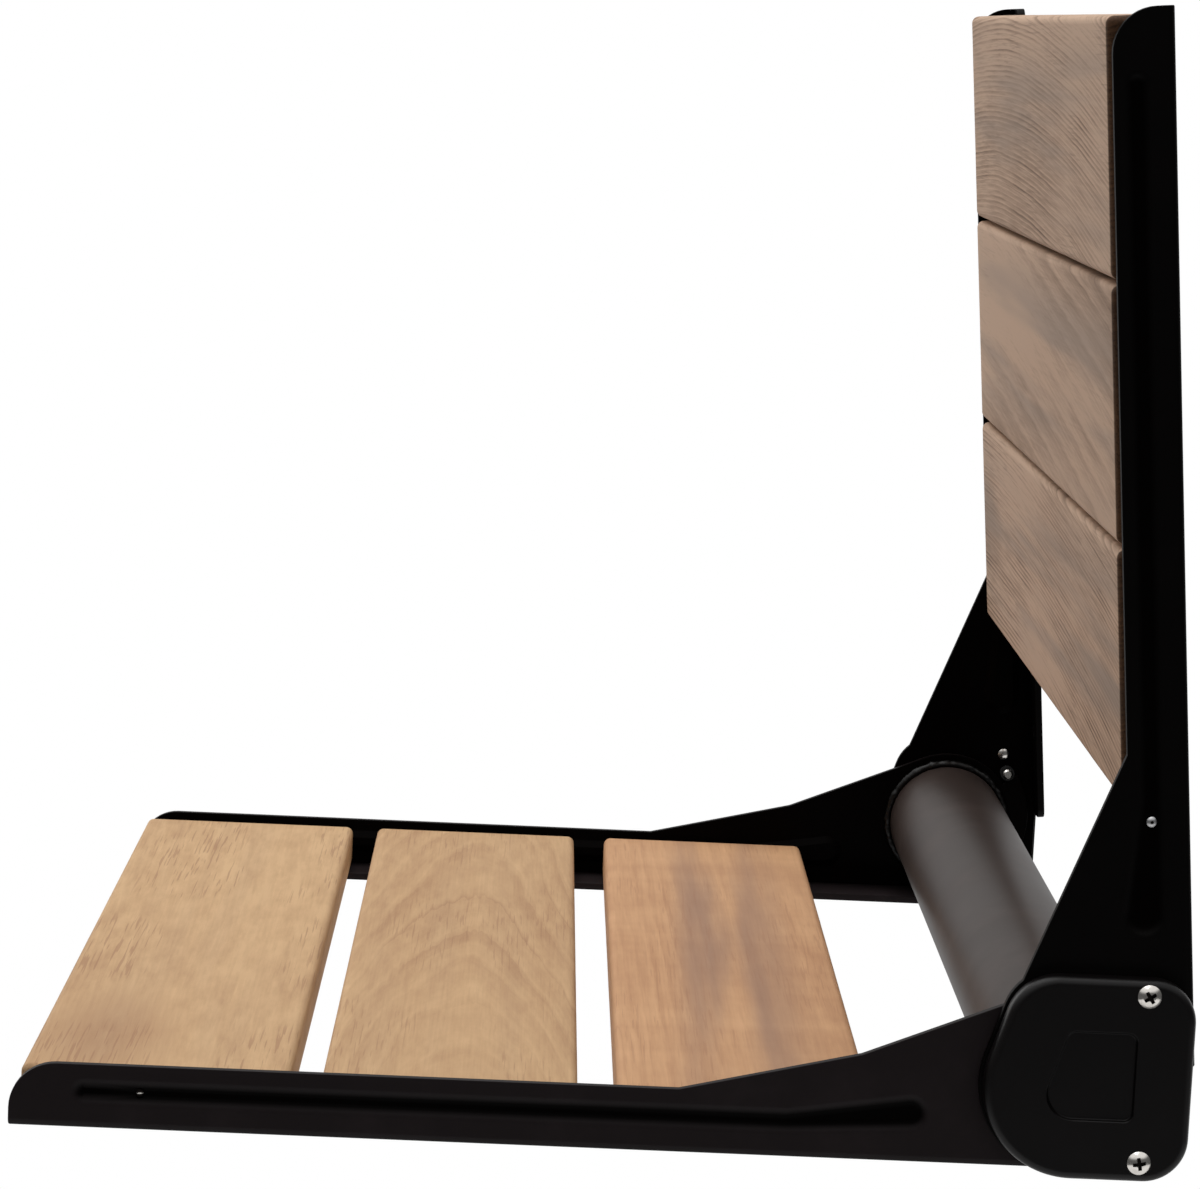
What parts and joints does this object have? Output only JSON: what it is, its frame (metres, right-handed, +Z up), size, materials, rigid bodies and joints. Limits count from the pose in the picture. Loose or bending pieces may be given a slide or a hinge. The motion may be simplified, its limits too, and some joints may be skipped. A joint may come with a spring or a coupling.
{
  "type": "fold-down shower seat",
  "caption": "Wall-mounted fold-down shower seat with slatted wooden seat and back on a black bent-sheet frame, hinged on a cross tube.",
  "frame": {"origin": "centre of the four wall screws, on the wall plane", "axes": "+Y into the wall, +Z up, +X to the right of someone who faces the seat"},
  "size_m": [0.457, 0.4001, 0.3909],
  "materials": {
    "frame_paint": "satin black powder coat",
    "tube_paint": "satin black powder coat",
    "weld_paint": "black powder coat over a rippled weld",
    "seat_wood": "oiled teak, warm tan",
    "back_wood": "oiled teak, grey-brown",
    "cap_plastic": "black, fine matt texture",
    "screw_steel": "bright stainless steel",
    "hinge_steel": "plain stainless steel",
    "bush_plastic": "dark bearing plastic",
    "stop_rubber": "black rubber"
  },
  "bodies": {
    "wall_frame": {"back_rail_left": "frame_paint", "back_rail_right": "frame_paint", "back_slat_top": "back_wood", "back_slat_middle": "back_wood", "back_slat_bottom": "back_wood", "back_slat_screws": "screw_steel", "end_cap_left": "cap_plastic", "end_cap_right": "cap_plastic", "cap_screws": "screw_steel", "pivot_bush_left": "bush_plastic", "pivot_bush_right": "bush_plastic", "stop_sleeve_left": "stop_rubber", "stop_sleeve_right": "stop_rubber", "stop_pin_left": "screw_steel", "stop_pin_right": "screw_steel", "back_rail_rivets": "screw_steel"},
    "seat": {"seat_rail_left": "frame_paint", "seat_rail_right": "frame_paint", "seat_slat_front": "seat_wood", "seat_slat_middle": "seat_wood", "seat_slat_rear": "seat_wood", "seat_slat_screws": "screw_steel", "cross_tube": "tube_paint", "tube_weld_left": "weld_paint", "tube_weld_right": "weld_paint", "tube_plug_left": "hinge_steel", "tube_plug_right": "hinge_steel", "pivot_bolt_left": "hinge_steel", "pivot_bolt_right": "hinge_steel", "friction_washer_left": "hinge_steel", "friction_washer_right": "hinge_steel", "seat_rail_rivets": "screw_steel"}
  },
  "joints": [
    {"name": "seat_fold", "type": "hinge", "parent": "wall_frame", "child": "seat", "pos_m": [0, -0.0425, -0.0576], "axis": [-1, 0, 0], "range_deg": [0, 85]}
  ]
}
